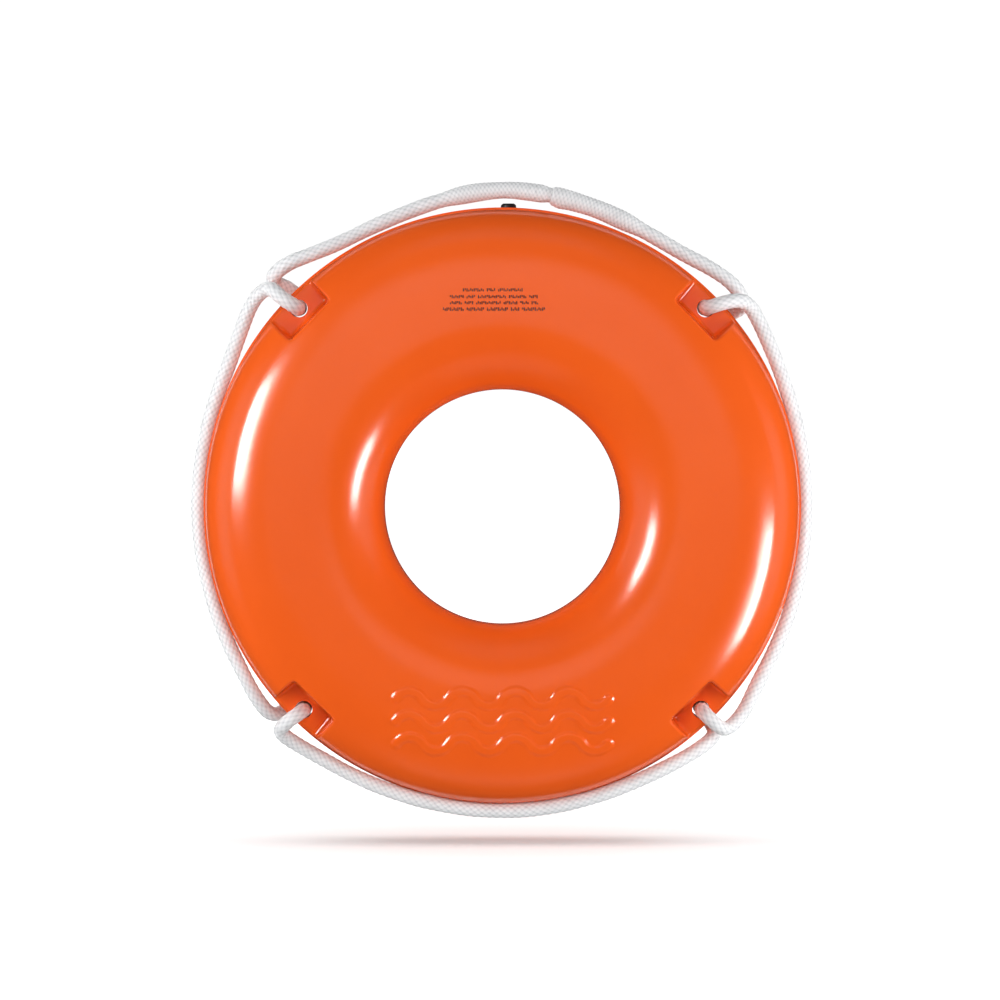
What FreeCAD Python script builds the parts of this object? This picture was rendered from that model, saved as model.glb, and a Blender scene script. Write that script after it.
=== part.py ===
import FreeCAD, Part
import math
import os
from FreeCAD import Vector

# A ring lifebuoy, in millimetres. It stands upright: the ring's axis is Y, its front faces -Y,
# +Z is up and the origin is the centre of the ring. Angles go round the front view, 0 at the
# right, 90 at the top, and the grab line runs clockwise.

# ---- driving dimensions -------------------------------------------------------------------
RIM_DIAMETER = 500.0          # over the parting ridge
RIDGE_HEIGHT = 2.2            # the parting ridge's height above the rim
RIDGE_WIDTH = 3.0
HOLE_DIAMETER = 196.5         # the centre hole
RING_THICKNESS = 100.0        # front crown to back crown
CROWN_FLAT = 34.0             # width of the flat land on the front and on the back
EDGE_BAND = 16.0              # width of the straight bands at the rim and in the hole
FACE_TURN_OUT = 20.0          # degrees that the broad arc towards the rim turns
FACE_TURN_IN = 50.0           # degrees that the broad arc towards the hole turns
WALL = 3.0                    # moulded skin

POCKET_ANGLES = (44.4, 135.6, 225.5, 314.5)
POCKET_INNER_WALL = 222.0     # from the ring's axis, at the mouth
POCKET_HALF_ANGLE = 6.1       # degrees, at the mouth
POCKET_DRAFT = 5.0            # degrees
POCKET_OUT = 262.0            # the cut runs out past the rim to here
POCKET_MOUTH = 44.0           # depth coordinate of the mouth at the inner wall
POCKET_TOP = 60.0             # the cut runs out past the crown to here
WEB_THICKNESS = 28.0          # material left between the front and back pockets
POCKET_CORNER_RADIUS = 3.0
EDGE_RADIUS = 2.0             # rounding of the pocket mouths
HOLE_EDGE_RADIUS = 0.8        # rounding of the rope holes
ROPE_HOLE_DIAMETER = 14.6
ROPE_HOLE_RADIUS = 236.8      # from the ring's axis to a rope hole's axis

WAVE_COUNT = 4                # periods in each raised ribbon
WAVE_LENGTH = 44.0
WAVE_HEIGHT = 6.0             # from a ribbon's mid line to its crest
WAVE_RIBBON = 7.6             # width of a ribbon
WAVE_LEVELS = (-156.5, -175.5, -194.5)
WAVE_RELIEF = 1.2

PLUG_X = 5.2                  # the fill plug stands right of the top
PLUG_Y = 9.6                  # and just behind the parting ridge
PLUG_HEAD_DIAMETER = 12.8
PLUG_HEAD_TOP = 253.4         # above the ring's axis
PLUG_BEVEL = 1.6
PLUG_DIMPLE_DIAMETER = 5.0
PLUG_DIMPLE_DEPTH = 0.8
PLUG_SEAT = 247.2             # the spot face that the head sits on
PLUG_SEAT_DIAMETER = 13.6
PLUG_SHANK_DIAMETER = 8.6
PLUG_SHANK_LENGTH = 15.0
PLUG_BARB_DIAMETER = 9.6
PLUG_BARB_LENGTH = 3.0
PLUG_BARB_DEPTHS = (3.2, 7.4)  # below the seat
FILL_HOLE_DIAMETER = 9.0
PLUG_BORE_DIAMETER = 10.2     # the void that the shank leaves in the foam
FIT_GAP = 0.2                 # between the foam and the pieces that it meets

ROPE_DIAMETER = 11.5
SPLICE_DIAMETER = 14.6

# The grab line's route, clockwise from its splice's throat and back to it:
# (angle in degrees, distance from the ring's axis, y).
ROUTE = [
    (81.0, 263.2, 0.0), (74.5, 262.0, 0.5), (67.5, 259.8, 0.5), (60.5, 258.6, 0.5),
    (54.5, 259.4, 0.0),
    # top right pocket, from the back to the front
    (49.0, 264.6, -0.5), (43.4, 268.8, 1.0), (39.5, 263.5, 9.5), (40.0, 250.5, 23.0),
    (44.4, 237.0, 22.5), (44.6, 237.6, 0.0), (44.4, 237.0, -23.0), (42.0, 259.0, -23.5),
    (39.6, 266.8, -8.5),
    (35.2, 263.8, -3.5),
    # right bight
    (30.5, 260.6, -1.5), (24.0, 257.8, 3.0), (15.5, 256.2, 7.5), (6.0, 255.3, 9.5),
    (-4.0, 255.3, 9.5), (-14.0, 256.3, 8.5), (-22.5, 258.0, 7.0), (-30.0, 258.8, 5.0),
    # bottom right pocket, from the front to the back
    (-35.6, 261.0, 1.0), (-41.0, 266.2, -4.5), (-45.0, 264.0, -17.0), (-45.4, 252.5, -25.5),
    (-45.5, 237.0, -22.5), (-45.3, 237.6, 0.0), (-45.5, 237.0, 22.5), (-46.1, 253.0, 26.0),
    (-46.9, 264.0, 13.5),
    (-51.2, 262.2, 2.0),
    # bottom bight
    (-56.5, 258.6, -4.5), (-63.5, 255.7, -10.0), (-73.0, 255.0, -12.5), (-83.5, 255.0, -13.0),
    (-94.0, 254.9, -13.0), (-104.0, 255.0, -12.0), (-113.0, 256.0, -9.0), (-120.0, 257.6, -6.0),
    (-125.6, 259.4, -5.0),
    # bottom left pocket, from the front to the back
    (-130.6, 262.6, -7.0), (-135.0, 265.2, -13.5), (-135.2, 252.5, -25.5),
    (-134.5, 237.0, -22.5), (-134.3, 237.6, 0.0), (-134.5, 237.0, 22.5), (-136.6, 250.5, 26.5),
    (-137.6, 263.4, 14.0),
    (-142.4, 261.8, 4.0),
    # left bight
    (-147.8, 258.2, 2.0), (-154.5, 257.0, 4.5), (-163.0, 255.8, 8.5), (-173.0, 256.4, 9.0),
    (-183.0, 255.8, 9.5), (-193.0, 256.0, 9.0), (-201.0, 256.6, 8.0), (-207.5, 257.8, 6.0),
    (-213.0, 262.2, 2.0),
    # top left pocket, from the front to the back
    (-219.4, 270.4, -4.0), (-223.6, 268.0, -17.0), (-223.6, 253.0, -25.5),
    (-224.4, 237.0, -22.5), (-224.2, 237.6, 0.0), (-224.4, 237.0, 22.5), (-226.0, 253.0, 26.5),
    (-224.0, 272.0, 12.0),
    (-228.0, 272.2, -0.5),
    # top bight
    (-233.0, 264.2, -1.5), (-238.5, 258.6, -1.0), (-245.0, 257.8, 0.0), (-252.0, 258.6, 0.5),
    (-259.0, 261.4, 0.5), (-266.0, 264.0, 0.5), (-273.0, 265.4, 0.0), (-279.0, 263.2, 0.0),
]

SPLICE_RUNS = (2, 5)          # the splice ends in the middle of these runs of the route,
                              # counted forwards from its start and backwards from its end


# ---- the ring's section -------------------------------------------------------------------
def section_radii(turn):
    """Radii of a broad face arc that turns so far, and of the corner arc after it."""
    run = (RIM_DIAMETER / 2 - RIDGE_HEIGHT - HOLE_DIAMETER / 2 - CROWN_FLAT) / 2
    rise = (RING_THICKNESS - EDGE_BAND) / 2
    a, b = math.sin(turn), 1 - math.sin(turn)
    c, d = 1 - math.cos(turn), math.cos(turn)
    det = a * d - b * c
    return (run * d - b * rise) / det, (a * rise - c * run) / det


def section_quarter(turn, offset):
    """Arc points from the crown to the band, with x from the middle of the section."""
    face_radius, corner_radius = section_radii(turn)
    half_width = (RIM_DIAMETER / 2 - RIDGE_HEIGHT - HOLE_DIAMETER / 2) / 2
    face_centre_y = RING_THICKNESS / 2 - face_radius
    corner_centre_x = half_width - corner_radius
    face_radius += offset
    corner_radius += offset
    points = []
    for angle in (0.0, turn / 2, turn):
        points.append((CROWN_FLAT / 2 + face_radius * math.sin(angle),
                       face_centre_y + face_radius * math.cos(angle)))
    for angle in ((turn + math.pi / 2) / 2, math.pi / 2):
        points.append((corner_centre_x + corner_radius * math.sin(angle),
                       EDGE_BAND / 2 + corner_radius * math.cos(angle)))
    return points


def section_face(offset):
    """The ring's section, grown by offset, with x from the ring's axis and y in depth."""
    middle = (RIM_DIAMETER / 2 - RIDGE_HEIGHT + HOLE_DIAMETER / 2) / 2
    edges = []
    crown, bands = {}, []
    for side, turn in ((1, FACE_TURN_OUT), (-1, FACE_TURN_IN)):
        for depth in (1, -1):
            points = [Vector(middle + side * x, depth * y, 0)
                      for x, y in section_quarter(math.radians(turn), offset)]
            edges.append(Part.Arc(points[0], points[1], points[2]).toShape())
            edges.append(Part.Arc(points[2], points[3], points[4]).toShape())
            crown.setdefault(depth, []).append(points[0])
            bands.append(points[4])
    for ends in (crown[1], crown[-1], bands[:2], bands[2:]):
        edges.append(Part.LineSegment(ends[0], ends[1]).toShape())
    return Part.Face(Part.Wire(Part.__sortEdges__(edges)))


def revolved(face):
    return face.revolve(Vector(0, 0, 0), Vector(0, 1, 0), 360)


def ring_body(offset):
    return revolved(section_face(offset))


def parting_ridge():
    """The half-round ridge left round the rim by the mould's parting."""
    tip = RIM_DIAMETER / 2
    root = tip - RIDGE_HEIGHT
    half = RIDGE_WIDTH / 2
    points = [Vector(root - 1, -half, 0), Vector(root + 0.7, -half, 0),
              Vector(root + 0.7, half, 0), Vector(root - 1, half, 0)]
    edges = [Part.LineSegment(points[0], points[1]).toShape(),
             Part.Arc(points[1], Vector(tip, 0, 0), points[2]).toShape(),
             Part.LineSegment(points[2], points[3]).toShape(),
             Part.LineSegment(points[3], points[0]).toShape()]
    return revolved(Part.Face(Part.Wire(edges)))


# ---- rope pockets and rope holes ----------------------------------------------------------
def turned(shape, angle):
    """Turn a shape made at angle 0 to its place round the ring."""
    moved = shape.copy()
    moved.rotate(Vector(0, 0, 0), Vector(0, 1, 0), -angle)
    return moved


def pocket_outline(depth, growth):
    """The pocket's plan at a depth coordinate, narrower towards its floor by the draft."""
    inset = (POCKET_MOUTH - depth) * math.tan(math.radians(POCKET_DRAFT)) - growth
    slope = math.tan(math.radians(POCKET_HALF_ANGLE))
    side = inset / math.cos(math.radians(POCKET_HALF_ANGLE))
    near = POCKET_INNER_WALL + inset
    far = POCKET_OUT
    corners = [(near, near * slope - side), (far, far * slope - side),
               (far, side - far * slope), (near, side - near * slope)]
    return Part.makePolygon([Vector(x, depth, z) for x, z in corners + corners[:1]])


def pocket_cut(growth=0.0):
    """The cutting body of one back pocket at angle 0, grown to leave a wall round it."""
    floor = WEB_THICKNESS / 2 - growth
    body = Part.makeLoft([pocket_outline(floor, growth), pocket_outline(POCKET_TOP, growth)],
                         True, True)
    near = POCKET_INNER_WALL + POCKET_OUT
    corners = []
    for edge in body.Edges:
        low = min(v.Point.y for v in edge.Vertexes)
        high = max(v.Point.y for v in edge.Vertexes)
        upright = high - low > 1 and edge.CenterOfMass.x < near / 2
        at_floor = high < floor + 0.1 and edge.CenterOfMass.x < POCKET_OUT - 0.1
        if upright or at_floor:
            corners.append(edge)
    return body.makeFillet(POCKET_CORNER_RADIUS + growth, corners)


def pockets(growth=0.0):
    """All eight pockets, front and back."""
    back = pocket_cut(growth)
    front = back.mirror(Vector(0, 0, 0), Vector(0, 1, 0))
    return [turned(half, angle) for angle in POCKET_ANGLES for half in (back, front)]


def rope_holes(diameter):
    """Four bars on the rope holes' axes, each through the web between two pockets."""
    bar = Part.makeCylinder(diameter / 2, RING_THICKNESS,
                            Vector(ROPE_HOLE_RADIUS, -RING_THICKNESS / 2, 0), Vector(0, 1, 0))
    return [turned(bar, angle) for angle in POCKET_ANGLES]


def touches(edge, shape):
    """Whether the middle of an edge lies on a shape's skin."""
    first, last = edge.ParameterRange
    middle = Part.Vertex(edge.valueAt((first + last) / 2))
    return shape.distToShape(middle)[0] < 0.01


def rounded_mouths(body):
    """Round the mouths of the pockets and of the rope holes, which would cut the line."""
    outer_skin = Part.makeCompound(ring_body(0.0).Shells)
    pocket_skin = Part.makeCompound([skin for cut in pockets() for skin in cut.Shells])
    mouths = [edge for edge in body.Edges
              if touches(edge, pocket_skin) and touches(edge, outer_skin)]
    body = body.makeFillet(EDGE_RADIUS, mouths)
    lips = [edge for edge in body.Edges
            if edge.Closed and abs(edge.Length - math.pi * ROPE_HOLE_DIAMETER) < 0.01]
    return body.makeFillet(HOLE_EDGE_RADIUS, lips)


# ---- raised waves -------------------------------------------------------------------------
def wave_outline(level):
    """Outline of one wavy ribbon, made of concentric arcs, in the plane y = 0."""
    half_wave = WAVE_LENGTH / 2
    radius = ((half_wave / 2) ** 2 + WAVE_HEIGHT ** 2) / (2 * WAVE_HEIGHT)
    reach = math.asin(half_wave / 2 / radius)
    start = -WAVE_COUNT * half_wave

    def on_arc(index, sign, distance, angle):
        crest = 1 if index % 2 == 0 else -1
        x = start + (index + 0.5) * half_wave
        z = level + crest * (WAVE_HEIGHT - radius)
        r = radius + crest * sign * distance
        return Vector(x + r * math.sin(angle), 0, z + crest * r * math.cos(angle))

    edges = []
    half = WAVE_RIBBON / 2
    count = 2 * WAVE_COUNT
    for index in range(count):
        for sign in (1, -1):
            edges.append(Part.Arc(on_arc(index, sign, half, -reach),
                                  on_arc(index, sign, half, 0.0),
                                  on_arc(index, sign, half, reach)).toShape())
    for index, angle, way in ((0, -reach, -1), (count - 1, reach, 1)):
        top = on_arc(index, 1, half, angle)
        bottom = on_arc(index, -1, half, angle)
        across = top.sub(bottom)
        outwards = Vector(across.z, 0, -across.x).normalize()
        if outwards.x * way < 0:
            outwards = outwards.negative()
        tip = (top + bottom) * 0.5 + outwards * half
        edges.append(Part.Arc(top, tip, bottom).toShape())
    return Part.Wire(Part.__sortEdges__(edges))


def raised_waves():
    """Three ribbons standing on the lower part of the front face."""
    skin = ring_body(WAVE_RELIEF)
    ribbons = []
    for level in WAVE_LEVELS:
        face = Part.Face(wave_outline(level))
        face.translate(Vector(0, -RING_THICKNESS * 0.2, 0))
        bar = face.extrude(Vector(0, -RING_THICKNESS * 0.4, 0))
        ribbons.append(bar.common(skin))
    return ribbons


# ---- rigid pieces -------------------------------------------------------------------------
def ring_shell():
    body = ring_body(0.0).fuse(parting_ridge())
    body = body.cut(pockets()).cut(rope_holes(ROPE_HOLE_DIAMETER))
    body = rounded_mouths(body)
    body = body.fuse(raised_waves()).removeSplitter()
    seat = Part.makeCylinder(PLUG_SEAT_DIAMETER / 2, 20, Vector(PLUG_X, PLUG_Y, PLUG_SEAT))
    hole = Part.makeCylinder(FILL_HOLE_DIAMETER / 2, 20, Vector(PLUG_X, PLUG_Y, PLUG_SEAT - 15))
    cavity = ring_body(-WALL).cut(pockets(WALL))
    cavity = cavity.cut(rope_holes(ROPE_HOLE_DIAMETER + 2 * WALL))
    return body.cut([cavity, seat, hole])


def foam_core():
    gap = WALL + FIT_GAP
    body = ring_body(-gap).cut(pockets(gap))
    body = body.cut(rope_holes(ROPE_HOLE_DIAMETER + 2 * gap))
    bore = Part.makeCylinder(PLUG_BORE_DIAMETER / 2, 40,
                             Vector(PLUG_X, PLUG_Y, PLUG_SEAT - PLUG_SHANK_LENGTH - 1))
    return body.cut(bore)


def fill_plug():
    """Pressed-in plug of the foam filling hole: bevelled head, shank and two barbs."""
    foot = Vector(PLUG_X, PLUG_Y, PLUG_SEAT)
    height = PLUG_HEAD_TOP - PLUG_SEAT
    head = Part.makeCylinder(PLUG_HEAD_DIAMETER / 2, height, foot)
    crown = [edge for edge in head.Edges
             if edge.BoundBox.ZMin > PLUG_HEAD_TOP - 0.01]
    head = head.makeChamfer(PLUG_BEVEL, crown)
    dimple = Part.makeCylinder(PLUG_DIMPLE_DIAMETER / 2, PLUG_DIMPLE_DEPTH + 1,
                               Vector(PLUG_X, PLUG_Y, PLUG_HEAD_TOP - PLUG_DIMPLE_DEPTH))
    shank = Part.makeCylinder(PLUG_SHANK_DIAMETER / 2, PLUG_SHANK_LENGTH,
                              Vector(PLUG_X, PLUG_Y, PLUG_SEAT - PLUG_SHANK_LENGTH))
    barbs = [Part.makeCone(PLUG_BARB_DIAMETER / 2, PLUG_SHANK_DIAMETER / 2 - 0.3, PLUG_BARB_LENGTH,
                           Vector(PLUG_X, PLUG_Y, PLUG_SEAT - depth), Vector(0, 0, -1))
             for depth in PLUG_BARB_DEPTHS]
    return head.cut(dimple).fuse([shank] + barbs)


# ---- the grab line ------------------------------------------------------------------------
def place(point):
    angle, radius, depth = point
    angle = math.radians(angle)
    return Vector(radius * math.cos(angle), depth, radius * math.sin(angle))


def tube(points, diameter):
    """Straight runs joined by tangent arcs, swept with a circle; also returns its length."""
    edges = []
    length = 0.0
    tightest = None
    start = points[0]
    for before, corner, after in zip(points, points[1:], points[2:]):
        way_in = corner.sub(before)
        way_out = after.sub(corner)
        shorter = min(way_in.Length, way_out.Length)
        way_in.normalize()
        way_out.normalize()
        turn = way_in.getAngle(way_out)
        cut = 0.45 * shorter
        radius = cut / math.tan(turn / 2)
        arc_start = corner - way_in * cut
        arc_end = corner + way_out * cut
        inwards = (way_out - way_in).normalize()
        centre = corner + inwards * (radius / math.cos(turn / 2))
        arc_middle = centre - inwards * radius
        edges.append(Part.LineSegment(start, arc_start).toShape())
        edges.append(Part.Arc(arc_start, arc_middle, arc_end).toShape())
        length += start.distanceToPoint(arc_start) + radius * turn
        start = arc_end
        tightest = radius if tightest is None else min(tightest, radius)
        print("  bend radius %.1f over %.0f degrees" % (radius, math.degrees(turn)))
    edges.append(Part.LineSegment(start, points[-1]).toShape())
    length += start.distanceToPoint(points[-1])
    path = Part.Wire(edges)
    heading = points[1].sub(points[0])
    ring = Part.Wire([Part.makeCircle(diameter / 2, points[0], heading)])
    solid = path.makePipeShell([ring], True, False)
    expected = length * math.pi * diameter ** 2 / 4
    print("  length %.1f, tightest bend %.1f, volume %.0f against %.0f"
          % (length, tightest, solid.Volume, expected))
    return solid, length


def line_pieces():
    """The plain line and its spliced stretch, which meet face to face in two straight runs."""
    points = [place(point) for point in ROUTE]
    first, last = SPLICE_RUNS
    right_end = (points[first] + points[first + 1]) * 0.5
    left_end = (points[-last - 1] + points[-last]) * 0.5
    print("grab line")
    line, line_length = tube([right_end] + points[first + 1:-last] + [left_end], ROPE_DIAMETER)
    print("splice")
    around_top = points[-last:-1] + points[:first + 1]
    splice, splice_length = tube([left_end] + around_top + [right_end], SPLICE_DIAMETER)
    print("whole line %.1f mm" % (line_length + splice_length))
    return line, splice


# ---- pieces -------------------------------------------------------------------------------
def main():
    os.makedirs("parts", exist_ok=True)
    grab_line, line_splice = line_pieces()
    pieces = {
        "ring_shell": ring_shell(),
        "foam_core": foam_core(),
        "fill_plug": fill_plug(),
        "grab_line": grab_line,
        "line_splice": line_splice,
    }
    for name, shape in pieces.items():
        print("%s: valid %s, %d solid, %.0f mm3"
              % (name, shape.isValid(), len(shape.Solids), shape.Volume))
        shape.exportStep("parts/%s.step" % name)


main()
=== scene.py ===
import bmesh
import bpy
import math
import numpy as np
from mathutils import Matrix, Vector


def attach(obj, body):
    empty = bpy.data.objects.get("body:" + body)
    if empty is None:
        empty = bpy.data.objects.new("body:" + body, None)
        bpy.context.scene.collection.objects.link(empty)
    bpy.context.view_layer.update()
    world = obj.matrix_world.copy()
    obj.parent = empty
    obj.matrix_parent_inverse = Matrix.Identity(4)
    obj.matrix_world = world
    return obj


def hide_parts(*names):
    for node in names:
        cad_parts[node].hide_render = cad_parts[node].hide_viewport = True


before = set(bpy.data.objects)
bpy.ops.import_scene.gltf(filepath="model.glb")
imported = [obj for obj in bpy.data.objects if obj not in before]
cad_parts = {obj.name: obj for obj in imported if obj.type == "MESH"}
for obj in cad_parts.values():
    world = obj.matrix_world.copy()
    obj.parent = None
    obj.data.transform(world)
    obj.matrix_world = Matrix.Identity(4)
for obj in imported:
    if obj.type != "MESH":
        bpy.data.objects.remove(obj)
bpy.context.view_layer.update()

MM = 0.001
scene = bpy.context.scene
scene.view_settings.view_transform = "Standard"
scene.view_settings.look = "None"

# ---- camera -------------------------------------------------------------------------------
CAMERA_DISTANCE = 3.5
CAMERA_ELEVATION = math.radians(2.5)
FRAME_WIDTH = 0.8367          # what the picture spans in the plane of the ring
FRAME_SHIFT = (-0.0023, 0.0068)
SENSOR_WIDTH = 36.0

camera_data = bpy.data.cameras.new("camera")
camera_data.sensor_width = SENSOR_WIDTH
camera_data.lens = SENSOR_WIDTH * CAMERA_DISTANCE / FRAME_WIDTH
camera_data.shift_x, camera_data.shift_y = FRAME_SHIFT
camera = bpy.data.objects.new("camera", camera_data)
scene.collection.objects.link(camera)
camera.location = (0, -CAMERA_DISTANCE * math.cos(CAMERA_ELEVATION),
                   CAMERA_DISTANCE * math.sin(CAMERA_ELEVATION))
camera.rotation_euler = (math.pi / 2 - CAMERA_ELEVATION, 0, 0)
scene.camera = camera


# ---- materials ----------------------------------------------------------------------------
def new_material(name, color, roughness, **sockets):
    material = bpy.data.materials.new(name)
    material.use_nodes = True
    shader = material.node_tree.nodes["Principled BSDF"]
    shader.inputs["Base Color"].default_value = (*color, 1)
    shader.inputs["Roughness"].default_value = roughness
    for key, value in sockets.items():
        shader.inputs[key.replace("_", " ")].default_value = value
    return material, material.node_tree, shader


def add(tree, kind, **values):
    node = tree.nodes.new(kind)
    for key, value in values.items():
        setattr(node, key, value)
    return node


def noise(tree, vector, scale, detail=2.0, roughness=0.5):
    node = add(tree, "ShaderNodeTexNoise")
    node.inputs["Scale"].default_value = scale
    node.inputs["Detail"].default_value = detail
    node.inputs["Roughness"].default_value = roughness
    tree.links.new(vector, node.inputs["Vector"])
    return node.outputs["Fac"]


def ramp(tree, fac, stops):
    node = add(tree, "ShaderNodeValToRGB")
    elements = node.color_ramp.elements
    while len(elements) < len(stops):
        elements.new(0.5)
    for element, (position, color) in zip(elements, stops):
        element.position = position
        element.color = (*color, 1)
    tree.links.new(fac, node.inputs["Fac"])
    return node.outputs["Color"]


def spread(tree, fac, low, high):
    node = add(tree, "ShaderNodeMapRange")
    node.inputs["To Min"].default_value = low
    node.inputs["To Max"].default_value = high
    tree.links.new(fac, node.inputs["Value"])
    return node.outputs["Result"]


def bump(tree, shader, height, strength, distance):
    node = add(tree, "ShaderNodeBump")
    node.inputs["Strength"].default_value = strength
    node.inputs["Distance"].default_value = distance
    tree.links.new(height, node.inputs["Height"])
    tree.links.new(node.outputs["Normal"], shader.inputs["Normal"])


def coordinates(tree):
    return add(tree, "ShaderNodeTexCoord").outputs["Object"]


def shell_material():
    material, tree, shader = new_material("orange_polyethylene", (0.83, 0.106, 0.0095), 0.18,
                                          IOR=1.5)
    place = coordinates(tree)
    broad = noise(tree, place, 9.0, 3.0)
    color = ramp(tree, broad, [(0.3, (0.81, 0.101, 0.009)), (0.7, (0.85, 0.111, 0.010))])
    tree.links.new(color, shader.inputs["Base Color"])
    tree.links.new(spread(tree, noise(tree, place, 40.0, 4.0), 0.155, 0.205),
                   shader.inputs["Roughness"])
    bump(tree, shader, noise(tree, place, 420.0, 2.0), 0.12, 0.00006)
    return material


def plug_material():
    material, tree, shader = new_material("black_plug", (0.012, 0.012, 0.013), 0.42)
    place = coordinates(tree)
    tree.links.new(spread(tree, noise(tree, place, 900.0, 3.0), 0.34, 0.5),
                   shader.inputs["Roughness"])
    bump(tree, shader, noise(tree, place, 1800.0, 2.0), 0.2, 0.00005)
    return material


def print_material():
    material, tree, shader = new_material("black_print", (0.016, 0.015, 0.015), 0.38)
    place = coordinates(tree)
    color = ramp(tree, noise(tree, place, 1500.0, 3.0),
                 [(0.35, (0.012, 0.011, 0.011)), (0.75, (0.035, 0.02, 0.016))])
    tree.links.new(color, shader.inputs["Base Color"])
    return material


def foam_material():
    material, tree, shader = new_material("cream_foam", (0.8, 0.72, 0.5), 0.9)
    place = coordinates(tree)
    bubbles = add(tree, "ShaderNodeTexVoronoi")
    bubbles.inputs["Scale"].default_value = 700.0
    tree.links.new(place, bubbles.inputs["Vector"])
    color = ramp(tree, bubbles.outputs["Distance"],
                 [(0.0, (0.66, 0.56, 0.36)), (0.6, (0.85, 0.78, 0.57))])
    tree.links.new(color, shader.inputs["Base Color"])
    bump(tree, shader, bubbles.outputs["Distance"], 0.5, 0.0004)
    return material


def rope_material():
    """White polypropylene yarn: fine filaments along each strand, in the braid's coordinates."""
    material, tree, shader = new_material("white_braid", (0.8, 0.8, 0.79), 0.62)
    shader.inputs["Sheen Weight"].default_value = 0.15
    shader.inputs["Sheen Roughness"].default_value = 0.4
    braid = add(tree, "ShaderNodeUVMap", uv_map="strand").outputs["UV"]
    stretch = add(tree, "ShaderNodeVectorMath", operation="MULTIPLY")
    stretch.inputs[1].default_value = (9.0, 1.2, 1.0)
    tree.links.new(braid, stretch.inputs[0])
    filaments = noise(tree, stretch.outputs["Vector"], 1.0, 3.0, 0.6)
    patches = noise(tree, coordinates(tree), 90.0, 3.0)
    mix = add(tree, "ShaderNodeMath", operation="MULTIPLY_ADD")
    mix.inputs[1].default_value = 0.6
    tree.links.new(filaments, mix.inputs[0])
    tree.links.new(spread(tree, patches, 0.0, 0.4), mix.inputs[2])
    yarn = ramp(tree, mix.outputs[0],
                [(0.25, (0.76, 0.765, 0.775)), (0.7, (0.90, 0.905, 0.915))])
    # painted shade: the yarn is darkened where the braid's height is low, in the valleys between
    # the strands' crowns
    relief = add(tree, "ShaderNodeAttribute", attribute_name="relief").outputs["Fac"]
    painted_valley_shade = ramp(tree, relief, [(0.3, (0.6, 0.61, 0.63)), (0.9, (1.0, 1.0, 1.0))])
    shade = add(tree, "ShaderNodeMix", data_type="RGBA", blend_type="MULTIPLY")
    shade.inputs["Factor"].default_value = 1.0
    tree.links.new(yarn, shade.inputs[6])
    tree.links.new(painted_valley_shade, shade.inputs[7])
    tree.links.new(shade.outputs[2], shader.inputs["Base Color"])
    bump(tree, shader, filaments, 0.6, 0.0003)
    return material


# ---- helpers for meshes -------------------------------------------------------------------
def mesh_object(name, vertices, faces, material):
    mesh = bpy.data.meshes.new(name)
    mesh.from_pydata([tuple(v) for v in vertices], [], faces)
    mesh.update()
    mesh.shade_smooth()
    mesh.materials.append(material)
    piece = bpy.data.objects.new(name, mesh)
    scene.collection.objects.link(piece)
    return piece


def grid_faces(rows, columns, wrap_rows, wrap_columns):
    """Quads of a grid of vertices stored row by row."""
    faces = []
    for i in range(rows if wrap_rows else rows - 1):
        a, b = i * columns, (i + 1) % rows * columns
        for j in range(columns if wrap_columns else columns - 1):
            k = (j + 1) % columns
            faces.append((a + j, a + k, b + k, b + j))
    return faces


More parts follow.
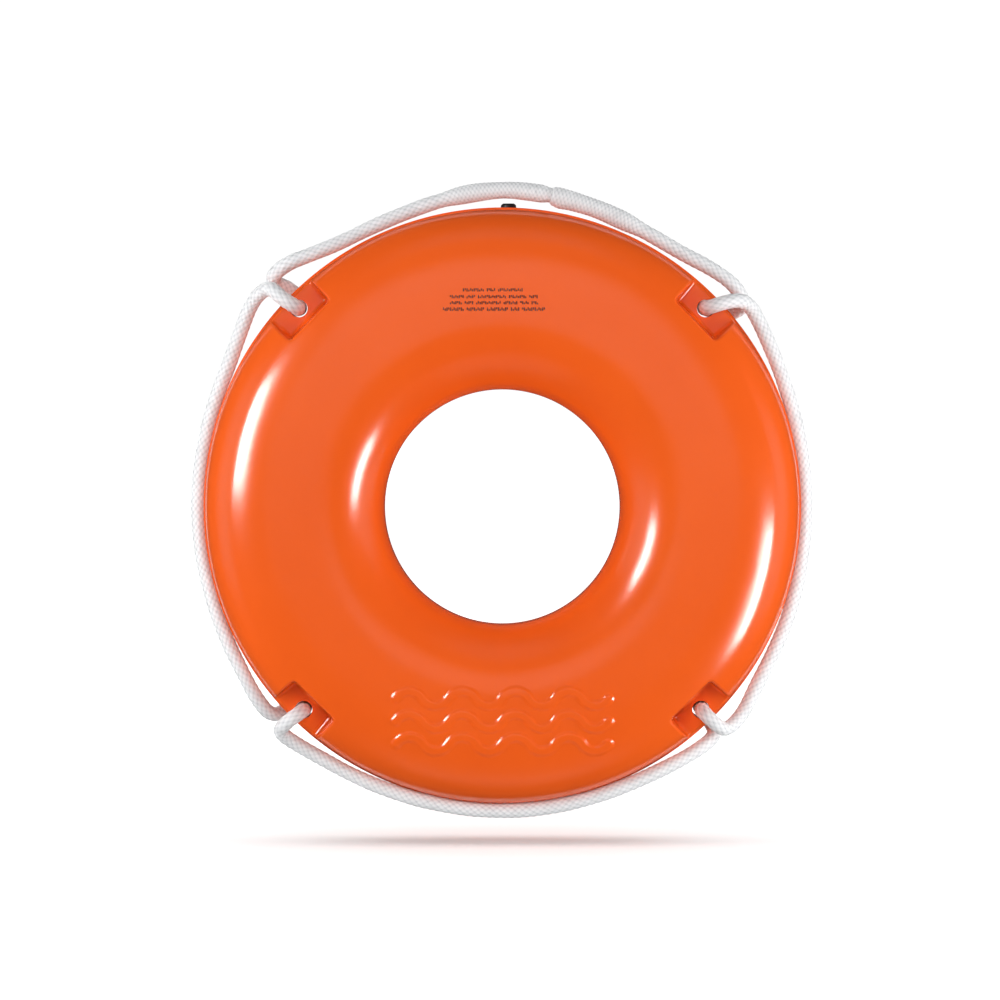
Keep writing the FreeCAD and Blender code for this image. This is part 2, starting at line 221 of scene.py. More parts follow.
# ---- the grab line ------------------------------------------------------------------------
# Its route, clockwise from its splice's throat: (angle in degrees, distance from the ring's
# axis, y), in millimetres.
ROUTE = [
    (81.0, 263.2, 0.0), (74.5, 262.0, 0.5), (67.5, 259.8, 0.5), (60.5, 258.6, 0.5),
    (54.5, 259.4, 0.0),
    # top right pocket, from the back to the front
    (49.0, 264.6, -0.5), (43.4, 268.8, 1.0), (39.5, 263.5, 9.5), (40.0, 250.5, 23.0),
    (44.4, 237.0, 22.5), (44.6, 237.6, 0.0), (44.4, 237.0, -23.0), (42.0, 259.0, -23.5),
    (39.6, 266.8, -8.5),
    (35.2, 263.8, -3.5),
    # right bight
    (30.5, 260.6, -1.5), (24.0, 257.8, 3.0), (15.5, 256.2, 7.5), (6.0, 255.3, 9.5),
    (-4.0, 255.3, 9.5), (-14.0, 256.3, 8.5), (-22.5, 258.0, 7.0), (-30.0, 258.8, 5.0),
    # bottom right pocket, from the front to the back
    (-35.6, 261.0, 1.0), (-41.0, 266.2, -4.5), (-45.0, 264.0, -17.0), (-45.4, 252.5, -25.5),
    (-45.5, 237.0, -22.5), (-45.3, 237.6, 0.0), (-45.5, 237.0, 22.5), (-46.1, 253.0, 26.0),
    (-46.9, 264.0, 13.5),
    (-51.2, 262.2, 2.0),
    # bottom bight
    (-56.5, 258.6, -4.5), (-63.5, 255.7, -10.0), (-73.0, 255.0, -12.5), (-83.5, 255.0, -13.0),
    (-94.0, 254.9, -13.0), (-104.0, 255.0, -12.0), (-113.0, 256.0, -9.0), (-120.0, 257.6, -6.0),
    (-125.6, 259.4, -5.0),
    # bottom left pocket, from the front to the back
    (-130.6, 262.6, -7.0), (-135.0, 265.2, -13.5), (-135.2, 252.5, -25.5),
    (-134.5, 237.0, -22.5), (-134.3, 237.6, 0.0), (-134.5, 237.0, 22.5), (-136.6, 250.5, 26.5),
    (-137.6, 263.4, 14.0),
    (-142.4, 261.8, 4.0),
    # left bight
    (-147.8, 258.2, 2.0), (-154.5, 257.0, 4.5), (-163.0, 255.8, 8.5), (-173.0, 256.4, 9.0),
    (-183.0, 255.8, 9.5), (-193.0, 256.0, 9.0), (-201.0, 256.6, 8.0), (-207.5, 257.8, 6.0),
    (-213.0, 262.2, 2.0),
    # top left pocket, from the front to the back
    (-219.4, 270.4, -4.0), (-223.6, 268.0, -17.0), (-223.6, 253.0, -25.5),
    (-224.4, 237.0, -22.5), (-224.2, 237.6, 0.0), (-224.4, 237.0, 22.5), (-226.0, 253.0, 26.5),
    (-224.0, 272.0, 12.0),
    (-228.0, 272.2, -0.5),
    # top bight
    (-233.0, 264.2, -1.5), (-238.5, 258.6, -1.0), (-245.0, 257.8, 0.0), (-252.0, 258.6, 0.5),
    (-259.0, 261.4, 0.5), (-266.0, 264.0, 0.5), (-273.0, 265.4, 0.0), (-279.0, 263.2, 0.0),
]
ROPE_DIAMETER = 11.5
SPLICE_DIAMETER = 14.6
STRANDS = 8                   # in each direction
LAY = 49.0                    # length of one turn of a strand round the rope
SPLICE_LAY = 27.0
BEAD_HEIGHT = 1.0
CROWN_SHARE = 0.62            # of a strand's height that comes from its round section
CROWN_NARROWING = 1.75        # the round part of a strand is this much narrower than its pitch
SPLINE_STEPS = 24             # points of the curve to each point of the route
STATION_STEP = 1.15           # between rings of vertices
SPLICE_STEP = 0.7             # closer together, because the splice's beads are shorter
STATION_GAP = 0.3             # kept clear at the end of a stretch, so no two rings coincide
RIGHT_TAIL = 84.0             # how far the splice reaches from its throat, each way
LEFT_TAIL = 92.0
MOUTH_BULGE = 0.9             # on the side of the ring, where the left tail goes into the right
MOUTH_AT = 8.0
MOUTH_LENGTH = 5.0
MOUTH_ROUNDING = 0.9          # at the right tail's very end, over about the next length
MOUTH_ROUNDING_LENGTH = 1.2
RIGHT_SWELL = 0.35            # where the right tail has the left one inside it
LEFT_SLIMMING = 0.4           # the left tail is thinner towards the mouth,
LEFT_TAPER = 1.3              # and tapers over this last length to go in
LEFT_TAPER_LENGTH = 9.0
AROUND = 48                   # vertices in a ring


def route_point(point):
    angle, radius, depth = point
    angle = math.radians(angle)
    return Vector((radius * math.cos(angle), depth, radius * math.sin(angle))) * MM


def smooth_line(name, points, resolution):
    """Points along the NURBS spline that has the given control points."""
    data = bpy.data.curves.new(name, "CURVE")
    data.dimensions = "3D"
    spline = data.splines.new("NURBS")
    spline.points.add(len(points) - 1)
    for target, point in zip(spline.points, points):
        target.co = (*point, 1)
    spline.order_u = 3
    spline.use_endpoint_u = True
    spline.resolution_u = resolution
    data.resolution_u = resolution
    holder = bpy.data.objects.new(name, data)
    scene.collection.objects.link(holder)
    bpy.context.view_layer.update()
    evaluated = holder.evaluated_get(bpy.context.evaluated_depsgraph_get())
    mesh = bpy.data.meshes.new_from_object(evaluated)
    line = np.array([v.co[:] for v in mesh.vertices])
    line = line[np.append(True, np.linalg.norm(np.diff(line, axis=0), axis=1) > 1e-6)]
    bpy.data.meshes.remove(mesh)
    bpy.data.objects.remove(holder)
    return line


def smoothstep(x, low, high):
    x = np.clip((x - low) / (high - low), 0, 1)
    return x * x * (3 - 2 * x)


line = smooth_line("grab_line_route", [route_point(p) for p in ROUTE], SPLINE_STEPS)
steps = np.linalg.norm(np.diff(line, axis=0), axis=1)
travel = np.concatenate([[0], np.cumsum(steps)]) / MM
LENGTH = travel[-1]

between_tails = LENGTH - RIGHT_TAIL - LEFT_TAIL
stations = np.concatenate([
    np.arange(0, RIGHT_TAIL - STATION_GAP, SPLICE_STEP),
    np.linspace(RIGHT_TAIL, LENGTH - LEFT_TAIL, int(between_tails / STATION_STEP)),
    np.arange(LENGTH - LEFT_TAIL + SPLICE_STEP, LENGTH - STATION_GAP, SPLICE_STEP),
    [LENGTH]])
centres = np.stack([np.interp(stations, travel, line[:, k]) for k in range(3)], axis=1)
kernel = np.array([1, 2, 3, 2, 1]) / 9.0
tangents = np.gradient(centres, stations, axis=0)
tangents = np.stack([np.convolve(np.pad(tangents[:, k], 2, mode="edge"), kernel, "valid")
                     for k in range(3)], axis=1)
tangents /= np.linalg.norm(tangents, axis=1)[:, None]
sides = np.zeros_like(tangents)
side = np.array([0.0, 1.0, 0.0])
for index, tangent in enumerate(tangents):
    side = side - tangent * side.dot(tangent)
    side /= np.linalg.norm(side)
    sides[index] = side
ups = np.cross(tangents, sides)

in_splice = (1 - smoothstep(stations, RIGHT_TAIL - 20, RIGHT_TAIL + 4)
             + smoothstep(stations, LENGTH - LEFT_TAIL - 4, LENGTH - LEFT_TAIL + 16))
radius = (ROPE_DIAMETER + (SPLICE_DIAMETER - ROPE_DIAMETER) * in_splice) / 2
# the right tail's mouth is opened by the left tail, which narrows into it
radius += RIGHT_SWELL * smoothstep(stations, 0, 10) * (1 - smoothstep(stations, 50, 80))
radius -= LEFT_SLIMMING * smoothstep(stations, LENGTH - 70, LENGTH - 40)
radius -= LEFT_TAPER * smoothstep(stations, LENGTH - LEFT_TAPER_LENGTH, LENGTH)
radius -= MOUTH_ROUNDING * np.exp(-(stations / MOUTH_ROUNDING_LENGTH) ** 2)
# a real line is a little uneven, and a hand-made splice more so
wobble = (0.10 * np.sin(stations / 17.0 + 1.0) + 0.08 * np.sin(stations / 6.7)
          + 0.22 * in_splice * np.sin(stations / 9.0 + 0.6))
radius += wobble - BEAD_HEIGHT / 2
mouth = MOUTH_BULGE * np.exp(-((stations - MOUTH_AT) / MOUTH_LENGTH) ** 2)

lay = LAY + (SPLICE_LAY - LAY) * in_splice
turns = np.diff(stations) * 2 / (lay[1:] + lay[:-1])
phase = STRANDS * np.concatenate([[0], np.cumsum(turns)])
theta = np.arange(AROUND) / AROUND
a = STRANDS * theta[None, :] + phase[:, None]
b = STRANDS * theta[None, :] - phase[:, None]


def strand(across, along, parity):
    """Height of an undulating strand, which is over on every other crossing."""
    index = np.floor(across)
    offset = across - index - 0.5
    crown = np.sqrt(np.clip(1 - (CROWN_NARROWING * offset) ** 2, 0, 1))
    wave = np.cos(math.pi * (along - 0.5 + index + parity))
    return CROWN_SHARE * crown + (1 - CROWN_SHARE) * wave


height = np.maximum(strand(a, b, 0), strand(b, a, 1))
angles = 2 * math.pi * theta
rays = (np.cos(angles)[None, :, None] * sides[:, None, :]
        + np.sin(angles)[None, :, None] * ups[:, None, :])
inward = -centres / np.linalg.norm(centres, axis=1)[:, None]
underside = np.maximum((rays * inward[:, None, :]).sum(axis=2), 0) ** 2
ring_radius = radius[:, None] + BEAD_HEIGHT * height + mouth[:, None] * underside
points = centres[:, None, :] + MM * ring_radius[:, :, None] * rays
count = len(stations)
vertices = points.reshape(-1, 3).tolist()
faces = grid_faces(count, AROUND, False, True)
for ring in (0, count - 1):
    vertices.append(centres[ring].tolist())
    middle = len(vertices) - 1
    base = ring * AROUND
    for j in range(AROUND):
        k = (j + 1) % AROUND
        pair = (base + k, base + j) if ring == 0 else (base + j, base + k)
        faces.append((*pair, middle))
rope = mesh_object("grab_rope", vertices, faces, rope_material())

# the yarn's coordinates, across and along each strand; the two directions lie apart in them,
# so that they have different filaments
DIRECTION_OFFSET = 40.0
ALONG_OFFSET = 100.0
over_a = strand(a, b, 0) >= strand(b, a, 1)
strand_u = np.where(over_a, a, b + DIRECTION_OFFSET)
strand_v = np.where(over_a, b, a) + ALONG_OFFSET
uv = rope.data.uv_layers.new(name="strand")
loops = np.zeros(len(rope.data.loops), dtype=np.int32)
rope.data.loops.foreach_get("vertex_index", loops)
flat_u = np.append(strand_u.reshape(-1), [0, 0])
flat_v = np.append(strand_v.reshape(-1), [0, 0])
flat_uv = np.stack([flat_u[loops], flat_v[loops]], axis=1).astype(np.float32)
uv.data.foreach_set("uv", flat_uv.reshape(-1))

# the strands' height, which the rope material turns into painted shade in the valleys between
# strands
relief = rope.data.attributes.new("relief", "FLOAT", "POINT")
relief.data.foreach_set("value", np.append(height.reshape(-1), [0, 0]).astype(np.float32))

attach(rope, "root")
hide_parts("grab_line", "line_splice")

# ---- the ring's skin ----------------------------------------------------------------------
# Distances are from the ring's axis and depths from its middle plane, in millimetres.
INNER = 98.25
OUTER = 247.8
RIM_TIP = 250.0               # the parting ridge
HALF_THICKNESS = 50.0
HALF_LAND = 17.0              # of the flat on the front
HALF_BAND = 8.0               # of the straight bands at the rim and in the hole
TURN_OUT = math.radians(20.0)  # how far each broad face arc turns before the corner arc
TURN_IN = math.radians(50.0)
MIDDLE = (INNER + OUTER) / 2
HALF_WIDTH = (OUTER - INNER) / 2


def section_side(turn):
    """Radius and centre of a broad face arc and of the corner arc after it, and its turn."""
    face, corner = np.linalg.solve(
        [[math.sin(turn), 1 - math.sin(turn)], [1 - math.cos(turn), math.cos(turn)]],
        [HALF_WIDTH - HALF_LAND, HALF_THICKNESS - HALF_BAND])
    return face, HALF_THICKNESS - face, corner, HALF_WIDTH - corner, turn


OUT_SIDE = section_side(TURN_OUT)
IN_SIDE = section_side(TURN_IN)

POCKETS = (44.4, 135.6, 225.5, 314.5)  # degrees, anticlockwise from +X seen from the front
POCKET_WALL = 222.0           # the inner wall, at the mouth's depth
POCKET_SIDE = math.radians(6.1)        # from a pocket's middle to its side wall
POCKET_DRAFT = math.radians(5.0)
POCKET_MOUTH = 44.0           # the depth at which the walls have these places
WEB = 14.0                    # half of the web between the front and back pockets
POCKET_CORNER = 3.0           # rounding between a pocket's walls
POCKET_EDGE = 2.0             # rounding of its edge
HOLE_RADIUS = 7.3
HOLE_AT = 236.8
NEAR = math.radians(7.0)      # up to this angle off a pocket the columns are square to it
FAR = math.radians(10.5)      # beyond this angle the section is plain
WARP_FROM, WARP_TO = 204.0, 244.1     # where the pockets change the section
STRAIGHT_IN = (205, 217)      # over these distances the rows turn straight, along the wall,
STRAIGHT_OUT = (228, 244)     # and round again
CORNER_ROWS_FROM = 245.3      # beyond this the rows are evenly spaced along the corner arc
PIVOT_INSET, PIVOT_DEPTH = 2.5, 2.0   # the rays' targets, from the rim and inside the web
HOLE_SIDES = 64
HOLE_REACH = 22.0
SHARP_ANGLE = math.radians(42)
COLUMN_EDGE = 6.2             # columns lie close together this far inside the pocket's side


def section_distance(r, y):
    """Signed distance from the ring's plain section."""
    y = np.abs(y)
    results = []
    for way, (face_r, face_y, corner_r, corner_x, turn) in ((1, OUT_SIDE), (-1, IN_SIDE)):
        x = way * (r - MIDDLE)
        corner = np.hypot(x - corner_x, y - HALF_BAND) - corner_r
        face = np.hypot(x - HALF_LAND, y - face_y) - face_r
        result = np.where(np.arctan2(x - HALF_LAND, y - face_y) < turn, face, corner)
        result = np.where(x < HALF_LAND, y - HALF_THICKNESS, result)
        results.append(np.where((y < HALF_BAND) & (x > HALF_LAND), x - HALF_WIDTH, result))
    return np.where(r > MIDDLE, results[0], results[1])


def section_depth(r):
    """How far the plain section's skin is from the middle plane at a distance from the axis."""
    results = []
    for way, (face_r, face_y, corner_r, corner_x, turn) in ((1, OUT_SIDE), (-1, IN_SIDE)):
        x = way * (r - MIDDLE)
        face = face_y + np.sqrt(np.maximum(face_r ** 2 - np.maximum(x - HALF_LAND, 0) ** 2, 0))
        drop = np.maximum(corner_r ** 2 - np.maximum(x - corner_x, 0) ** 2, 0)
        corner = HALF_BAND + np.sqrt(drop)
        results.append(np.where(x < HALF_LAND + face_r * math.sin(turn), face, corner))
    return np.where(r > MIDDLE, results[0], results[1])


def rounded_max(values, k):
    """The largest of several signed distances, with the edge between them rounded by k."""
    values = np.stack(values)
    over = np.maximum(values + k, 0)
    return np.minimum(values.max(axis=0), -k) + np.sqrt((over ** 2).sum(axis=0))


def body_distance(r, delta, y):
    """Signed distance of the ring with its pockets, delta being the angle off a pocket."""
    y = np.abs(y)
    x, z = r * np.cos(delta), r * np.sin(delta)
    lean, rise = math.cos(POCKET_DRAFT), (POCKET_MOUTH - y) * math.sin(POCKET_DRAFT)
    s, c = math.sin(POCKET_SIDE), math.cos(POCKET_SIDE)
    cut = rounded_max([rise - (x - POCKET_WALL) * lean, rise - (x * s - z * c) * lean,
                       rise - (x * s + z * c) * lean, WEB - y], POCKET_CORNER)
    return rounded_max([section_distance(r, y), -cut], POCKET_EDGE)


def section_rows():
    """Stations along the front half of the section, from the hole to the rim, as (r, depth)."""
    rows = [(INNER, 0.0), (INNER, 4.0)]
    face_r, face_y, corner_r, corner_x, turn = IN_SIDE
    for k in range(11):
        t = math.pi / 2 - (math.pi / 2 - turn) * k / 10
        rows.append((MIDDLE - corner_x - corner_r * math.sin(t),
                     HALF_BAND + corner_r * math.cos(t)))
    for k in range(1, 17):
        t = turn * (1 - k / 16)
        rows.append((MIDDLE - HALF_LAND - face_r * math.sin(t), face_y + face_r * math.cos(t)))
    for k in range(1, 6):
        rows.append((MIDDLE - HALF_LAND + 2 * HALF_LAND * k / 6, HALF_THICKNESS))
    radii = list(np.linspace(MIDDLE + HALF_LAND, 219.4, 9))
    radii += list(np.arange(219.8, 222.3, 0.35)) + list(np.arange(222.7, 224.3, 0.5))
    radii += list(np.arange(224.6, 228.3, 0.42)) + list(np.linspace(229.2, 243.4, 9))
    radii += [244.2, 244.8, CORNER_ROWS_FROM]
    rows += [(r, float(section_depth(np.array(r)))) for r in radii]
    face_r, face_y, corner_r, corner_x, turn = OUT_SIDE
    start = math.asin((CORNER_ROWS_FROM - MIDDLE - corner_x) / corner_r)
    for k in range(1, 15):
        t = start + (math.pi / 2 - start) * k / 14
        rows.append((MIDDLE + corner_x + corner_r * math.sin(t),
                     HALF_BAND + corner_r * math.cos(t)))
    # the straight band, the parting ridge's hollow foot and its round tip
    rows += [(OUTER, 5.0), (OUTER, 2.6), (247.85, 1.95), (248.05, 1.65), (248.45, 1.5),
             (249.0, 1.28), (249.5, 0.96), (249.86, 0.52), (RIM_TIP, 0.0)]
    return rows


def column_offsets():
    """Columns over half of a quarter turn, as functions from r to the angle off a pocket."""
    columns = []
    for k in range(6):
        columns.append(lambda r, f=k / 6: f * (POCKET_SIDE - np.arcsin(COLUMN_EDGE / r)))
    for t in np.arange(COLUMN_EDGE, -2.5, -0.41):
        columns.append(lambda r, t=t: POCKET_SIDE - np.arcsin(t / r))
    last = -2.6
    for k in range(29):
        columns.append(lambda r, f=k / 28: (
            POCKET_SIDE - np.arcsin(last / r)) * (1 - f) + math.pi / 4 * f)
    return columns


def ring_skin():
    front = section_rows()
    profile = [(r, -y) for r, y in front] + [(r, y) for r, y in reversed(front[1:-1])]
    base_r = np.array([r for r, y in profile])[:, None]
    base_y = np.array([y for r, y in profile])[:, None]
    columns = column_offsets()

    straight = smoothstep(base_r, *STRAIGHT_IN) * (1 - smoothstep(base_r, *STRAIGHT_OUT))
    r_all, delta_all = [], []
    for column in columns:
        r = base_r
        for _ in range(3):
            delta = column(r)
            near = 1 - smoothstep(delta, NEAR, FAR)
            lift = 1 / np.cos(np.minimum(delta, FAR)) - 1
            r = base_r * (1 + straight * lift * near)
        r_all.append(r)
        delta_all.append(column(r))
    r = np.concatenate(r_all, axis=1)
    delta = np.concatenate(delta_all, axis=1)
    y = np.repeat(np.abs(base_y), r.shape[1], axis=1)
    warped = (base_r > WARP_FROM) & (base_r < WARP_TO)
    y = np.where(warped, section_depth(r), y)

    # each point is taken down a ray into the body, to the rounded surface of its pocket
    pivot_r, pivot_y = OUTER - PIVOT_INSET, WEB - PIVOT_DEPTH
    target_r = np.where(y < pivot_y, r, np.minimum(r, pivot_r))
    target_y = np.minimum(y, pivot_y)
    distance = body_distance(r, delta, y)
    moving = (distance > 1e-4) & (base_r > WARP_FROM) & (y > pivot_y)
    low, high = np.zeros_like(r), np.ones_like(r)
    for _ in range(36):
        half = (low + high) / 2
        outside = body_distance(r + (target_r - r) * half, delta, y + (target_y - y) * half) > 0
        low = np.where(outside, half, low)
        high = np.where(outside, high, half)
    share = np.where(moving, low, 0.0)
    r = r + (target_r - r) * share
    y = (y + (target_y - y) * share) * np.sign(np.where(base_y == 0, 1, base_y))
    y = np.where(base_y == 0, 0.0, y)

    # half of a quarter turn is mirrored, and the quarter is repeated round the ring
    full_r = np.concatenate([r[:, :0:-1], r[:, :-1]], axis=1)
    full_y = np.concatenate([y[:, :0:-1], y[:, :-1]], axis=1)
    full_delta = np.concatenate([-delta[:, :0:-1], delta[:, :-1]], axis=1)
    rows, per_quarter = full_r.shape
    stack = []
    shares = np.maximum(np.abs(full_delta) - FAR, 0) / (math.pi / 4 - FAR)
    for index, pocket in enumerate(POCKETS):
        after = math.radians((POCKETS[(index + 1) % 4] - pocket) % 360) / 2
        before = math.radians((pocket - POCKETS[index - 1]) % 360) / 2
        reach = np.where(full_delta > 0, after, before)
        spread_out = np.minimum(np.abs(full_delta), FAR) + shares * (reach - FAR)
        angle = math.radians(pocket) + np.sign(full_delta) * spread_out
        stack.append(np.stack([full_r * np.cos(angle), full_y, full_r * np.sin(angle)], axis=2))
    vertices = np.concatenate(stack, axis=1).reshape(-1, 3) * MM
    return vertices.tolist(), grid_faces(rows, per_quarter * len(POCKETS), True, True)


def rope_hole_cutter(angle):
    """A many-sided bar on the axis of one rope hole."""
    sides = HOLE_SIDES
    angle = math.radians(angle)
    ring = []
    for y in (-HOLE_REACH, HOLE_REACH):
        for k in range(sides):
            t = 2 * math.pi * k / sides
            x, z = HOLE_AT + HOLE_RADIUS * math.cos(t), HOLE_RADIUS * math.sin(t)
            ring.append((MM * (x * math.cos(angle) - z * math.sin(angle)), MM * y,
                         MM * (x * math.sin(angle) + z * math.cos(angle))))
    faces = [tuple(range(sides)), tuple(range(2 * sides - 1, sides - 1, -1))]
    for k in range(sides):
        n = (k + 1) % sides
        faces.append((k, sides + k, sides + n, n))
    return ring, faces


def apply_modifiers(piece):
    bpy.context.view_layer.update()
    evaluated = piece.evaluated_get(bpy.context.evaluated_depsgraph_get())
    mesh = bpy.data.meshes.new_from_object(evaluated)
    old = piece.data
    piece.modifiers.clear()
    piece.data = mesh
    bpy.data.meshes.remove(old)


def recalculate(piece):
    work = bmesh.new()
    work.from_mesh(piece.data)
    bmesh.ops.recalc_face_normals(work, faces=work.faces)
    work.to_mesh(piece.data)
    work.free()


orange = shell_material()
shell = mesh_object("ring_skin", *ring_skin(), orange)
recalculate(shell)
cutter_vertices, cutter_faces = [], []
for pocket in POCKETS:
    ring, faces = rope_hole_cutter(pocket)
    base = len(cutter_vertices)
    cutter_vertices += ring
    cutter_faces += [tuple(base + i for i in face) for face in faces]
cutter = mesh_object("cutter", cutter_vertices, cutter_faces, orange)
recalculate(cutter)
boolean = shell.modifiers.new("rope_holes", "BOOLEAN")
boolean.operation = "DIFFERENCE"
boolean.solver = "EXACT"
boolean.object = cutter
apply_modifiers(shell)
bpy.data.objects.remove(cutter)
shell.data.shade_smooth()
shell.data.set_sharp_from_angle(angle=SHARP_ANGLE)
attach(shell, "root")
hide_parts("ring_shell")

# ---- raised waves -------------------------------------------------------------------------
WAVE_COUNT = 4
HALF_WAVE = 22.0
WAVE_HEIGHT = 6.0             # from a ribbon's mid line to its crest
WAVE_LEVELS = (-156.5, -175.5, -194.5)
WAVE_RELIEF = 1.2
WAVE_FOOT = 5.2               # half width at the foot, and where the top begins to fall
WAVE_SHOULDER = 2.0
WAVE_STEPS = 14               # along each arc
WAVE_CAP_STEPS = 12           # round each end
WAVE_SINK = 0.7               # how far a ribbon reaches into the skin


def wave_line(level):
    """Points and normals along a wave made of arcs, in the plane of the ring."""
    bend = ((HALF_WAVE / 2) ** 2 + WAVE_HEIGHT ** 2) / (2 * WAVE_HEIGHT)
    reach = math.asin(HALF_WAVE / 2 / bend)
    points, normals = [], []
    for index in range(2 * WAVE_COUNT):
        crest = 1 if index % 2 == 0 else -1
        x = (index + 0.5 - WAVE_COUNT) * HALF_WAVE
        z = level + crest * (WAVE_HEIGHT - bend)
        for k in range(0 if index == 0 else 1, WAVE_STEPS + 1):
            t = -reach + 2 * reach * k / WAVE_STEPS
            points.append((x + bend * math.sin(t), z + crest * bend * math.cos(t)))
            normals.append((crest * math.sin(t), math.cos(t)))
    return np.array(points), np.array(normals)


def wave_ribbon(name, level):
    points, normals = wave_line(level)
    turns = [math.pi * k / WAVE_CAP_STEPS for k in range(1, WAVE_CAP_STEPS)]

    def cap(point, normal, way):
        along = np.array([normal[1], -normal[0]]) * way
        return [(point, normal * math.cos(t) + along * math.sin(t)) for t in turns]

    loop = list(zip(points, normals))
    loop += cap(points[-1], normals[-1], 1)
    loop += [(p, -n) for p, n in zip(points[::-1], normals[::-1])]
    loop += cap(points[0], -normals[0], 1)
    at = np.array([p for p, n in loop])
    out = np.array([n for p, n in loop])
    levels = [(v, 0) for v in (0.01, 1.0, 1.9, 2.5, 3.0, 3.5, 4.0, 4.5, 4.9, WAVE_FOOT)]
    levels += [(v, WAVE_SINK) for v in (WAVE_FOOT, 2.5, 0.01)]
    vertices = []
    for v, sink in levels:
        plan = at + out * v
        share = min(max((v - WAVE_SHOULDER) / (WAVE_FOOT - WAVE_SHOULDER), 0), 1)
        rise = WAVE_RELIEF * (0.5 + 0.5 * math.cos(math.pi * share)) - 0.02
        if sink:
            rise = -sink
        depth = section_depth(np.hypot(plan[:, 0], plan[:, 1])) + rise
        vertices += [(x * MM, -d * MM, z * MM) for (x, z), d in zip(plan, depth)]
    faces = grid_faces(len(levels), len(loop), False, True)
    ribbon = mesh_object(name, vertices, faces, orange)
    work = bmesh.new()
    work.from_mesh(ribbon.data)
    bmesh.ops.remove_doubles(work, verts=work.verts, dist=0.00003)
    bmesh.ops.recalc_face_normals(work, faces=work.faces)
    work.to_mesh(ribbon.data)
    work.free()
    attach(ribbon, "root")


for number, level in enumerate(WAVE_LEVELS, 1):
    wave_ribbon("wave_relief_%d" % number, level)

# ---- generic print ------------------------------------------------------------------------
PRINT_ROWS = (
    # height above the axis, left and right ends, height of the bars
    (180.9, -32.4, 17.9, 2.7),
    (175.3, -43.1, 30.3, 2.7),
    (170.3, -43.1, 29.5, 2.7),
    (165.0, -48.9, 36.1, 3.0),
)
WORD_LENGTHS = (12, 5, 14, 8, 5, 16, 10)
# low and high ends of the bars, in turn, as shares of the row's height
STROKES = ((0, 1), (0.4, 1), (0, 1), (0, 0.55), (0.25, 1), (0, 0.7))
STROKE_WIDTH = 0.92
STROKE_PITCH = 1.48
STROKE_NOTCH = 0.2
WORD_GAP = 1.9
PRINT_SURFACE = (-50.07, -49.9)       # y of the bars' front and back


def print_blocks():
    """Rows of short upright bars, grouped like words; no bar is a letter or part of one."""
    vertices, faces = [], []
    word, left_in_word, count = 0, WORD_LENGTHS[0], 0
    for height, left, right, tall in PRINT_ROWS:
        x = left
        while x + STROKE_WIDTH <= right:
            bottom, top = STROKES[count % len(STROKES)]
            low, high = height + (bottom - 0.5) * tall, height + (top - 0.5) * tall
            far = x + STROKE_WIDTH
            outline = [(x, low), (far, low), (far, high - STROKE_NOTCH),
                       (far - STROKE_NOTCH, high), (x, high)]
            base, n = len(vertices), len(outline)
            for depth in PRINT_SURFACE:
                vertices += [(px * MM, depth * MM, pz * MM) for px, pz in outline]
            faces.append(tuple(base + k for k in range(n)))
            faces.append(tuple(base + n + k for k in reversed(range(n))))
            for k in range(n):
                m = (k + 1) % n
                faces.append((base + k, base + n + k, base + n + m, base + m))
            x += STROKE_PITCH
            count += 1
            left_in_word -= 1
            if left_in_word == 0:
                word += 1
                left_in_word = WORD_LENGTHS[word % len(WORD_LENGTHS)]
                x += WORD_GAP
    blocks = mesh_object("print_blocks", vertices, faces, print_material())
    recalculate(blocks)
    blocks.data.shade_flat()
    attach(blocks, "root")


print_blocks()

# ---- carried-over CAD pieces --------------------------------------------------------------
for node, material in (("fill_plug", plug_material()), ("foam_core", foam_material())):
    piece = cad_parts[node]
    if piece.material_slots:
        for material_slot in piece.material_slots:
            material_slot.material = material
    else:
        piece.data.materials.append(material)

# ---- studio -------------------------------------------------------------------------------
# in metres
FLOOR = -0.281
FLOOR_SIZE = 14.0             # half of its side
FLOOR_GLOW = (0.4, 1.15)      # at the two distances below
FLOOR_GLOW_AT = (0.5, 1.4)
DOME_RADIUS = 22.0
DOME_GLOW = 1.05
WORLD_GLOW = 0.06


def stage_floor():
    """A pale sheet whose own light grows with the distance from the ring, up to plain white."""
    size = FLOOR_SIZE
    vertices = [(-size, -size, FLOOR), (size, -size, FLOOR), (size, size, FLOOR),
                (-size, size, FLOOR)]
    material, tree, shader = new_material("floor", (0.8, 0.8, 0.8), 0.9)
    shader.inputs["Specular IOR Level"].default_value = 0.0
    shader.inputs["Emission Color"].default_value = (1, 1, 1, 1)
    length = add(tree, "ShaderNodeVectorMath", operation="LENGTH")
    tree.links.new(coordinates(tree), length.inputs[0])
    node = add(tree, "ShaderNodeMapRange", interpolation_type="SMOOTHSTEP")
    for end, distance, glow in zip(("Min", "Max"), FLOOR_GLOW_AT, FLOOR_GLOW):
        node.inputs["From " + end].default_value = distance
        node.inputs["To " + end].default_value = glow
    tree.links.new(length.outputs["Value"], node.inputs["Value"])
    tree.links.new(node.outputs["Result"], shader.inputs["Emission Strength"])
    sheet = mesh_object("floor", vertices, [(0, 1, 2, 3)], material)
    sheet.visible_diffuse = False
    sheet.visible_glossy = False
    sheet.visible_shadow = False
    return sheet


floor = stage_floor()

world = bpy.data.worlds.new("studio")
world.use_nodes = True
background = world.node_tree.nodes["Background"]
background.inputs["Color"].default_value = (1, 1, 1, 1)
background.inputs["Strength"].default_value = WORLD_GLOW
scene.world = world


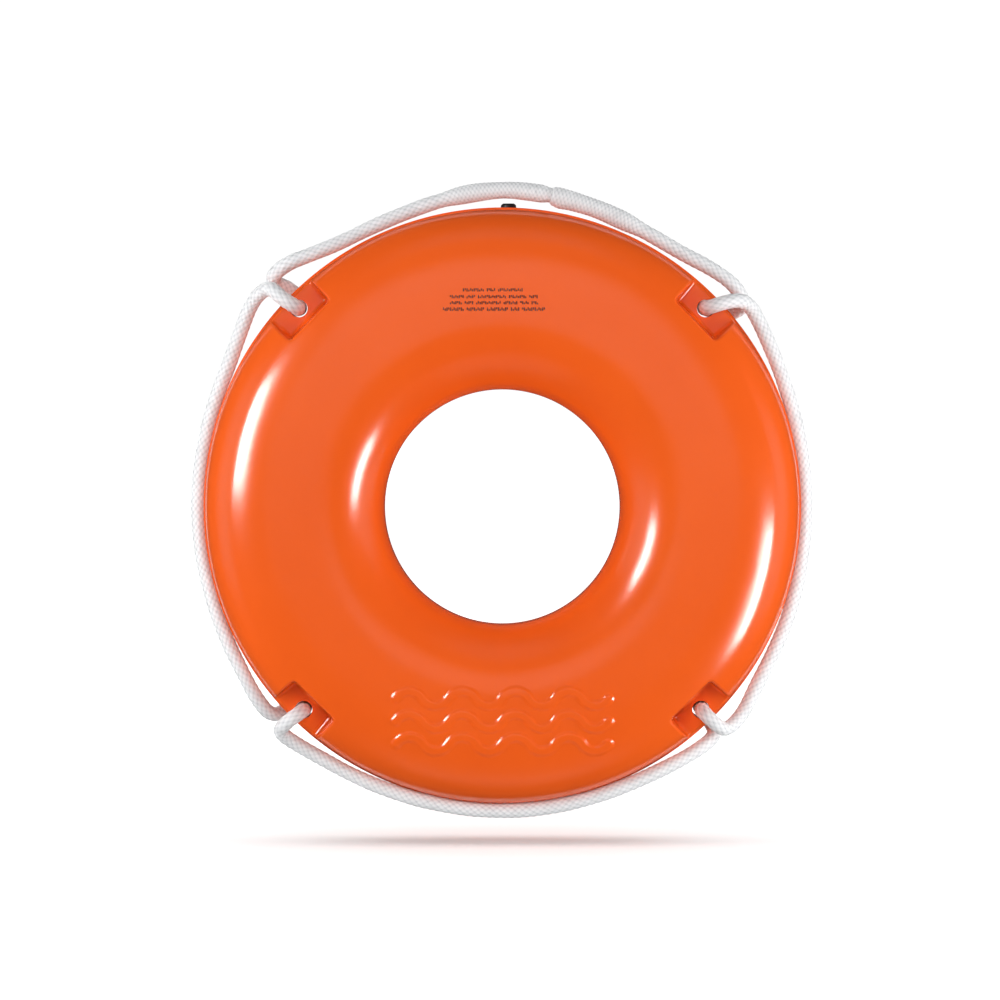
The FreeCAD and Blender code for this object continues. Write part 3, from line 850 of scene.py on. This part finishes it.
def dome():
    """A white surround that only the camera sees."""
    rings, sides = 24, 48
    vertices = []
    for i in range(rings + 1):
        t = math.pi * i / rings
        across = DOME_RADIUS * math.sin(t)
        for j in range(sides):
            p = 2 * math.pi * j / sides
            vertices.append((across * math.cos(p), across * math.sin(p),
                             DOME_RADIUS * math.cos(t)))
    material, _, shader = new_material("surround", (0, 0, 0), 1.0)
    shader.inputs["Emission Color"].default_value = (1, 1, 1, 1)
    shader.inputs["Emission Strength"].default_value = DOME_GLOW
    faces = grid_faces(rings + 1, sides, False, True)
    surround = mesh_object("surround", vertices, faces, material)
    for flag in ("visible_diffuse", "visible_glossy", "visible_transmission", "visible_shadow"):
        setattr(surround, flag, False)


dome()


def area_light(name, off_axis, clock, distance, width, tall, power):
    """A rectangle of light, placed off the ring's axis at an angle, and aimed at its centre."""
    off_axis, clock = math.radians(off_axis), math.radians(clock)
    data = bpy.data.lights.new(name, "AREA")
    data.shape = "RECTANGLE"
    data.size = width
    data.size_y = tall
    data.energy = power
    light = bpy.data.objects.new(name, data)
    scene.collection.objects.link(light)
    spot = Vector((math.sin(off_axis) * math.cos(clock), -math.cos(off_axis),
                   math.sin(off_axis) * math.sin(clock))) * distance
    light.location = spot
    light.rotation_euler = (-spot).to_track_quat("-Z", "Y").to_euler()
    return light


# the floor has one light of its own, and the ring has all the others
only_floor = bpy.data.collections.new("only_floor")
only_floor.objects.link(floor)
all_but_floor = bpy.data.collections.new("all_but_floor")
all_but_floor.objects.link(floor)
all_but_floor.collection_objects[0].light_linking.link_state = "EXCLUDE"

# In the tables: degrees off the ring's axis and round it, distance, width, height, watts.
# The two long highlights:
for name, off_axis, clock, distance, width, tall, power in (
        ("left_strip", 47.5, 166, 1.02, 0.21, 0.33, 8.7),
        ("right_strip", 53.5, -19, 0.85, 0.175, 0.31, 6.6)):
    strip = area_light(name, off_axis, clock, distance, width, tall, power)
    strip.visible_diffuse = False
    strip.light_linking.receiver_collection = all_but_floor

# The soft light, which makes no highlights of its own:
for name, off_axis, clock, distance, width, tall, power in (
        ("left_soft", 76, 176, 1.6, 0.9, 1.2, 20), ("right_soft", 76, -4, 1.6, 0.9, 1.2, 22),
        ("upper_soft", 60, 90, 2.0, 1.5, 1.0, 9), ("lower_soft", 60, -90, 2.0, 1.5, 1.0, 14),
        ("front_soft", 12, 90, 2.5, 1.5, 1.2, 29),
        ("back_upper_soft", 140, 105, 2.2, 1.2, 1.0, 34),
        ("back_lower_soft", 140, -75, 2.2, 1.2, 1.0, 18)):
    soft = area_light(name, off_axis, clock, distance, width, tall, power)
    soft.visible_glossy = False
    soft.light_linking.receiver_collection = all_but_floor

# a broad light from above that only the floor receives, for the soft shadow under the ring
overhead = area_light("overhead", 90, 90, 1.2, 3.4, 1.5, 44)
overhead.visible_glossy = False
overhead.light_linking.receiver_collection = only_floor
